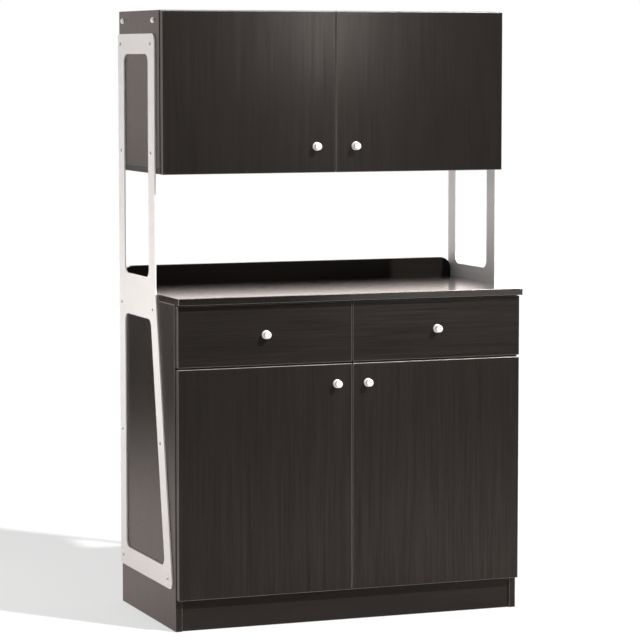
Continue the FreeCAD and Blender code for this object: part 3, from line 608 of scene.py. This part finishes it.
frameHardware = {
    "headRadius": 4.5, "headHeight": 2.6, "headRim": 0.6, "shankRadius": 2.2, "shankLength": 18.0,
    "socketRadius": 1.7, "socketDepth": 1.8,
    "pinShank": 2.0, "plate": 4.0, "pinRadius": 3.0, "pinLength": 7.0, "pinRound": 0.7,
    "boltHead": 7.5, "boltRise": 7.0, "boltRim": 1.0, "boltShank": 3.0, "board": 18.0,
    "nutRadius": 6.0, "nutHeight": 3.0, "boltSocket": 2.4, "boltSocketDepth": 3.0,
}


def hexSocket(piece, top, direction, radius, depth):
    bpy.ops.object.select_all(action="DESELECT")
    bpy.ops.mesh.primitive_cylinder_add(vertices=6, radius=radius * mm, depth=2 * depth * mm,
                                        location=top, rotation=outwards[direction])
    tool = bpy.context.object
    applyPlace(tool)
    carve(piece, tool)


def headRings(radius, height, rim):
    rings = [(radius - 0.25, 0.0), (radius, 0.25), (radius, rim)]
    return rings + domeRings(radius, rim, height - rim, 0.3, 9)


# All three are made for the left side: the seat is at the origin and the head points left
def frameScrewMaster():
    h = frameHardware
    rings = [(h["shankRadius"] - 0.5, -h["shankLength"]), (h["shankRadius"], -h["shankLength"] + 0.5),
             (h["shankRadius"], 0.0)]
    screw = turnPiece("frameScrew", rings + headRings(h["headRadius"], h["headHeight"], h["headRim"]), "left", 40)
    hexSocket(screw, Vector((-h["headHeight"] * mm, 0, 0)), "left", h["socketRadius"], h["socketDepth"])
    smoothFinish(screw)
    return screw


def supportPinMaster():
    h = frameHardware
    start = -h["plate"]
    end = start - h["pinLength"]
    rings = [(h["pinRadius"] - h["pinRound"] - 1.0, end)]
    rings += roundRings(h["pinRadius"] - h["pinRound"], end + h["pinRound"], h["pinRound"], -90, 0, 5)
    rings += [(h["pinRadius"], start), (h["pinShank"], start), (h["pinShank"], 0.0)]
    pin = turnPiece("supportPin", rings, "left", 32)
    smoothFinish(pin)
    return pin


def joiningBoltMaster():
    h = frameHardware
    rings = [(h["boltShank"], -h["board"]), (h["boltShank"], 0.0)]
    bolt = turnPiece("joiningBolt", rings + headRings(h["boltHead"], h["boltRise"], h["boltRim"]), "left", 48)
    nutBase = -h["board"]
    nutRings = [(h["nutRadius"], nutBase), (h["nutRadius"], nutBase - h["nutHeight"] + 0.8),
                (h["nutRadius"] - 0.8, nutBase - h["nutHeight"])]
    nut = turnPiece("joiningNut", nutRings, "left", 40)
    hexSocket(nut, Vector(((h["board"] + h["nutHeight"]) * mm, 0, 0)), "left",
              h["boltSocket"], h["boltSocketDepth"] - 0.6)
    both = joinPieces("joiningBolt", [bolt, nut])
    smoothFinish(both)
    return both


# One copy of the master at each place, turned round on the right side
def bothSideCopies(name, master, places, nodeName, metal):
    made = []
    for place in places:
        turn = (0, 0, 0) if place.x < 0 else (0, 0, math.pi)
        made.append(placeCopy(master, place, turn))
    dropMaster(master)
    joined = joinPieces(name, made)
    dress(joined, metal)
    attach(joined, "root")
    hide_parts(nodeName)


def outerSeats(boxes, faceX):
    seats = []
    for low, high in boxes:
        middle = (low + high) / 2
        seats.append(Vector((math.copysign(faceX, middle.x), middle.y, middle.z)))
    return seats


def addFrameHardware():
    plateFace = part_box("frame_right")[1].x
    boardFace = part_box("upper_side_right")[1].x
    bothSideCopies("frame_button_screws", frameScrewMaster(),
                   outerSeats(solidBoxes("frame_screws"), plateFace), "frame_screws", screwSteel)
    bothSideCopies("support_pins", supportPinMaster(),
                   outerSeats(solidBoxes("support_studs"), plateFace), "support_studs", polishedMetal)
    bolts = []
    for low, high in solidBoxes("joining_bolts"):
        if high.x - low.x > 0.01:
            bolts.append((low, high))
    bothSideCopies("domed_bolts", joiningBoltMaster(), outerSeats(bolts, boardFace), "joining_bolts",
                   polishedMetal)


addFrameHardware()
print("frame screws, pins and bolts made")


# Screws of the hinges, with cross recesses

smallScrews = {
    "headRadius": 3.4, "shankRadius": 1.8, "point": 2.0, "recess": 3.6, "recessBar": 0.7, "recessDepth": 1.0,
    "clampHead": 4.2, "clampHeight": 1.8, "clampShank": 2.5,
}


# The head is flush with the seat at the origin and the shank runs into the named direction
def countersunkScrew(length, into, outward):
    s = smallScrews
    taper = s["headRadius"] - s["shankRadius"]
    rings = [(s["headRadius"] - 0.15, 0.0), (s["headRadius"], 0.15), (s["shankRadius"], taper + 0.15),
             (s["shankRadius"], length - s["point"]), (0.2, length)]
    screw = turnPiece("countersunkScrew", rings, into, 24)
    crossRecess(screw, Vector((0, 0, 0)), outward, s["recess"], s["recessBar"], s["recessDepth"])
    smoothFinish(screw)
    return screw


def clampScrew(length):
    s = smallScrews
    rings = [(s["clampShank"], -length), (s["clampShank"], 0.0), (s["clampHead"], 0.0),
             (s["clampHead"], s["clampHeight"] - 0.5), (s["clampHead"] - 0.5, s["clampHeight"])]
    screw = turnPiece("clampScrew", rings, "right", 32)
    crossRecess(screw, Vector((s["clampHeight"] * mm, 0, 0)), "right", 4.2, 0.9, 1.1)
    smoothFinish(screw)
    return screw


def addHingeScrews():
    made = []
    plateScrew = None
    clamp = None
    for low, high in solidBoxes("hinge_plate_screws"):
        middle = (low + high) / 2
        onLeft = middle.x < 0
        turn = (0, 0, 0) if onLeft else (0, 0, math.pi)
        inner = high.x if onLeft else low.x
        length = round((high.x - low.x) / mm, 2)
        if high.z - low.z > 2 * smallScrews["headRadius"] * mm + 0.0005:
            if clamp is None:
                clamp = clampScrew(length - smallScrews["clampHeight"])
            seat = inner - math.copysign(smallScrews["clampHeight"] * mm, 1 if onLeft else -1)
            made.append(placeCopy(clamp, Vector((seat, middle.y, middle.z)), turn))
        else:
            if plateScrew is None:
                plateScrew = countersunkScrew(length, "left", "right")
            made.append(placeCopy(plateScrew, Vector((inner, middle.y, middle.z)), turn))
    dropMaster(plateScrew)
    dropMaster(clamp)
    joined = joinPieces("hinge_plate_cross_screws", made)
    dress(joined, zincSteel)
    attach(joined, "root")
    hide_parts("hinge_plate_screws")


def addCupScrews():
    master = None
    for level in levels:
        for side in sides:
            start = level + "_" + side
            made = []
            for low, high in solidBoxes(start + "_cup_screws"):
                if master is None:
                    master = countersunkScrew(round((high.y - low.y) / mm, 2), "front", "back")
                made.append(placeCopy(master, Vector(((low.x + high.x) / 2, high.y, (low.z + high.z) / 2))))
            joined = joinPieces(start + "_cup_cross_screws", made)
            dress(joined, zincSteel)
            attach(joined, start + "_door")
            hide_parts(start + "_cup_screws")
    dropMaster(master)


addHingeScrews()
addCupScrews()
print("hinge screws made")


# Floor, world and lamps

studio = {
    "floorSize": 40.0,
    "floorTone": (0.82, 0.815, 0.81, 1),
    "floorShown": 1.0,
    "floorGlow": 0.6,
    # floorNear, floorFar and frontGlow set the painted glow pools that the floor shows only in reflections
    "floorNear": 0.75,
    "floorFar": 0.05,
    "paintedGlowSpot": (-0.9, 1.2, 0.0),
    "nearReach": 0.8,
    "farReach": 3.2,
    "paintedFrontGlowSpot": (1.4, -1.2, 0.0),
    "frontNear": 0.8,
    "frontFar": 2.05,
    "frontGlow": 0.9,
    "skyDiffuse": 0.35,
    "skyBehind": 1.0,
    "skyFront": 0.01,
    "skyLeft": 0.74,
    "skyRight": 2.2,
    "skyTint": (1.0, 0.885, 0.85, 1),
    "keyTravel": (-15.0, 20.0, -21.7),
    "keySpread": 2.0,
    "keyStrength": 5.0,
    "frontPlace": (0.62, -1.78, 1.72),
    "frontAim": (0.03, -0.11, 1.50),
    "frontSize": (0.24, 0.60),
    "frontPower": 3.1,
    "middlePlace": (0.66, -1.78, 0.88),
    "middleAim": (0.03, -0.22, 0.80),
    "middleSize": (0.24, 1.06),
    "middlePower": 0.4,
    "lowPlace": (1.15, -1.90, 0.68),
    "lowAim": (0.20, -0.22, 0.80),
    "lowSize": (0.6, 0.2),
    "lowPower": 0.35,
    "cameraSidePlace": (-1.75, -3.75, 0.8),
    "cameraSideAim": (-0.47, 0.0, 0.7),
    "cameraSideSize": (0.8, 1.6),
    "cameraSidePower": 12.0,
    "leftPlace": (-1.5, 0.9, 0.66),
    "leftAim": (-0.48, 0.15, 0.66),
    "leftSize": (0.35, 0.35),
    "leftPower": 4.0,
    "bayPlace": (-1.6, 0.9, 1.25),
    "bayAim": (0.47, 0.05, 0.95),
    "baySize": (0.3, 0.3),
    "bayPower": 1.2,
    "lampTint": (1.0, 0.93, 0.89),
}


def distanceNode(tree, vector, centre):
    node = tree.nodes.new("ShaderNodeVectorMath")
    node.operation = "DISTANCE"
    node.inputs[1].default_value = centre
    tree.links.new(vector, node.inputs[0])
    return node.outputs["Value"]


def addFloor():
    bpy.ops.object.select_all(action="DESELECT")
    bpy.ops.mesh.primitive_plane_add(size=studio["floorSize"], location=(0, 0, -0.0002))
    floor = bpy.context.object
    floor.name = "paleFloor"
    material = bpy.data.materials.new("paleFloor")
    material.use_nodes = True
    tree = material.node_tree
    tree.nodes.clear()
    output = tree.nodes.new("ShaderNodeOutputMaterial")
    matt = tree.nodes.new("ShaderNodeBsdfDiffuse")
    matt.inputs["Color"].default_value = studio["floorTone"]
    shown = tree.nodes.new("ShaderNodeEmission")
    shown.inputs["Strength"].default_value = studio["floorShown"]
    seenShare = tree.nodes.new("ShaderNodeMixShader")
    seenShare.inputs[0].default_value = studio["floorGlow"]
    tree.links.new(matt.outputs[0], seenShare.inputs[1])
    tree.links.new(shown.outputs[0], seenShare.inputs[2])
    # Painted glow: in reflections the floor shows no lit colour of its own. It glows in two pools, behind-left
    # and front-right, fading with distance, as light that no lamp gives.
    paintedReflectionGlow = tree.nodes.new("ShaderNodeEmission")
    place = tree.nodes.new("ShaderNodeTexCoord")
    fromSpot = distanceNode(tree, place.outputs["Object"], studio["paintedGlowSpot"])
    fade = rangeNode(tree, fromSpot, studio["nearReach"], studio["farReach"],
                     studio["floorNear"], studio["floorFar"])
    paintedReflectionGlow.inputs["Color"].default_value = studio["skyTint"]
    fromFront = distanceNode(tree, place.outputs["Object"], studio["paintedFrontGlowSpot"])
    frontFade = rangeNode(tree, fromFront, studio["frontNear"], studio["frontFar"], studio["frontGlow"], 0.0)
    tree.links.new(mathNode(tree, "MAXIMUM", fade, frontFade), paintedReflectionGlow.inputs["Strength"])
    ray = tree.nodes.new("ShaderNodeLightPath")
    bySight = tree.nodes.new("ShaderNodeMixShader")
    byMirror = tree.nodes.new("ShaderNodeMixShader")
    tree.links.new(ray.outputs["Is Glossy Ray"], byMirror.inputs[0])
    tree.links.new(matt.outputs[0], byMirror.inputs[1])
    tree.links.new(paintedReflectionGlow.outputs[0], byMirror.inputs[2])
    tree.links.new(ray.outputs["Is Camera Ray"], bySight.inputs[0])
    tree.links.new(byMirror.outputs[0], bySight.inputs[1])
    tree.links.new(seenShare.outputs[0], bySight.inputs[2])
    tree.links.new(bySight.outputs[0], output.inputs["Surface"])
    dress(floor, material)


# White behind the cabinet and dim on the camera's side in reflections, plain white when seen
def addWorld():
    world = bpy.data.worlds.new("studio")
    scene.world = world
    world.use_nodes = True
    tree = world.node_tree
    tree.nodes.clear()
    output = tree.nodes.new("ShaderNodeOutputWorld")
    place = tree.nodes.new("ShaderNodeTexCoord")
    split = tree.nodes.new("ShaderNodeSeparateXYZ")
    tree.links.new(place.outputs["Generated"], split.inputs[0])
    behind = rangeNode(tree, split.outputs["Y"], -0.75, -0.35, studio["skyFront"], studio["skyBehind"])
    ray = tree.nodes.new("ShaderNodeLightPath")
    seen = mathNode(tree, "MAXIMUM", ray.outputs["Is Camera Ray"], ray.outputs["Is Transmission Ray"])
    window = mathNode(tree, "MINIMUM",
                      rangeNode(tree, split.outputs["X"], -0.2, 0.2, 0.0, 1.0),
                      rangeNode(tree, split.outputs["X"], 0.55, 0.8, 1.0, 0.0))
    sideways = rangeNode(tree, window, 0.0, 1.0, studio["skyLeft"], studio["skyRight"])
    shine = mathNode(tree, "MULTIPLY", ray.outputs["Is Glossy Ray"], mathNode(tree, "MULTIPLY", behind, sideways))
    direct = mathNode(tree, "MAXIMUM", seen, ray.outputs["Is Glossy Ray"])
    soft = mathNode(tree, "MULTIPLY", mathNode(tree, "SUBTRACT", 1.0, direct), studio["skyDiffuse"])
    strength = mathNode(tree, "ADD", mathNode(tree, "ADD", seen, shine), soft)
    sky = tree.nodes.new("ShaderNodeBackground")
    tree.links.new(mixColours(tree, ray.outputs["Is Glossy Ray"], (1, 1, 1, 1), studio["skyTint"]),
                   sky.inputs["Color"])
    tree.links.new(strength, sky.inputs["Strength"])
    tree.links.new(sky.outputs[0], output.inputs["Surface"])


def addKeyLight():
    bpy.ops.object.light_add(type="SUN", location=(0, 0, 3))
    lamp = bpy.context.object
    lamp.name = "keyLight"
    lamp.data.energy = studio["keyStrength"]
    lamp.data.angle = math.radians(studio["keySpread"])
    lamp.rotation_euler = Vector(studio["keyTravel"]).to_track_quat("-Z", "Y").to_euler()


def addLamp(name, place, aim, size, power):
    bpy.ops.object.light_add(type="AREA", location=place)
    lamp = bpy.context.object
    lamp.name = name
    lamp.data.energy = power
    lamp.data.color = studio["lampTint"]
    lamp.visible_camera = False
    if isinstance(size, tuple):
        lamp.data.shape = "RECTANGLE"
        lamp.data.size, lamp.data.size_y = size
    else:
        lamp.data.shape = "DISK"
        lamp.data.size = size
    lamp.rotation_euler = (Vector(aim) - Vector(place)).to_track_quat("-Z", "Y").to_euler()
    return lamp


addFloor()
addWorld()
addKeyLight()
addLamp("frontLamp", studio["frontPlace"], studio["frontAim"], studio["frontSize"], studio["frontPower"])
addLamp("middleLamp", studio["middlePlace"], studio["middleAim"], studio["middleSize"], studio["middlePower"])
addLamp("lowLamp", studio["lowPlace"], studio["lowAim"], studio["lowSize"], studio["lowPower"])
addLamp("leftLamp", studio["leftPlace"], studio["leftAim"], studio["leftSize"], studio["leftPower"])
addLamp("bayLamp", studio["bayPlace"], studio["bayAim"], studio["baySize"], studio["bayPower"])
addLamp("cameraSideLamp", studio["cameraSidePlace"], studio["cameraSideAim"], studio["cameraSideSize"],
        studio["cameraSidePower"])
print("floor, world and lamps set")
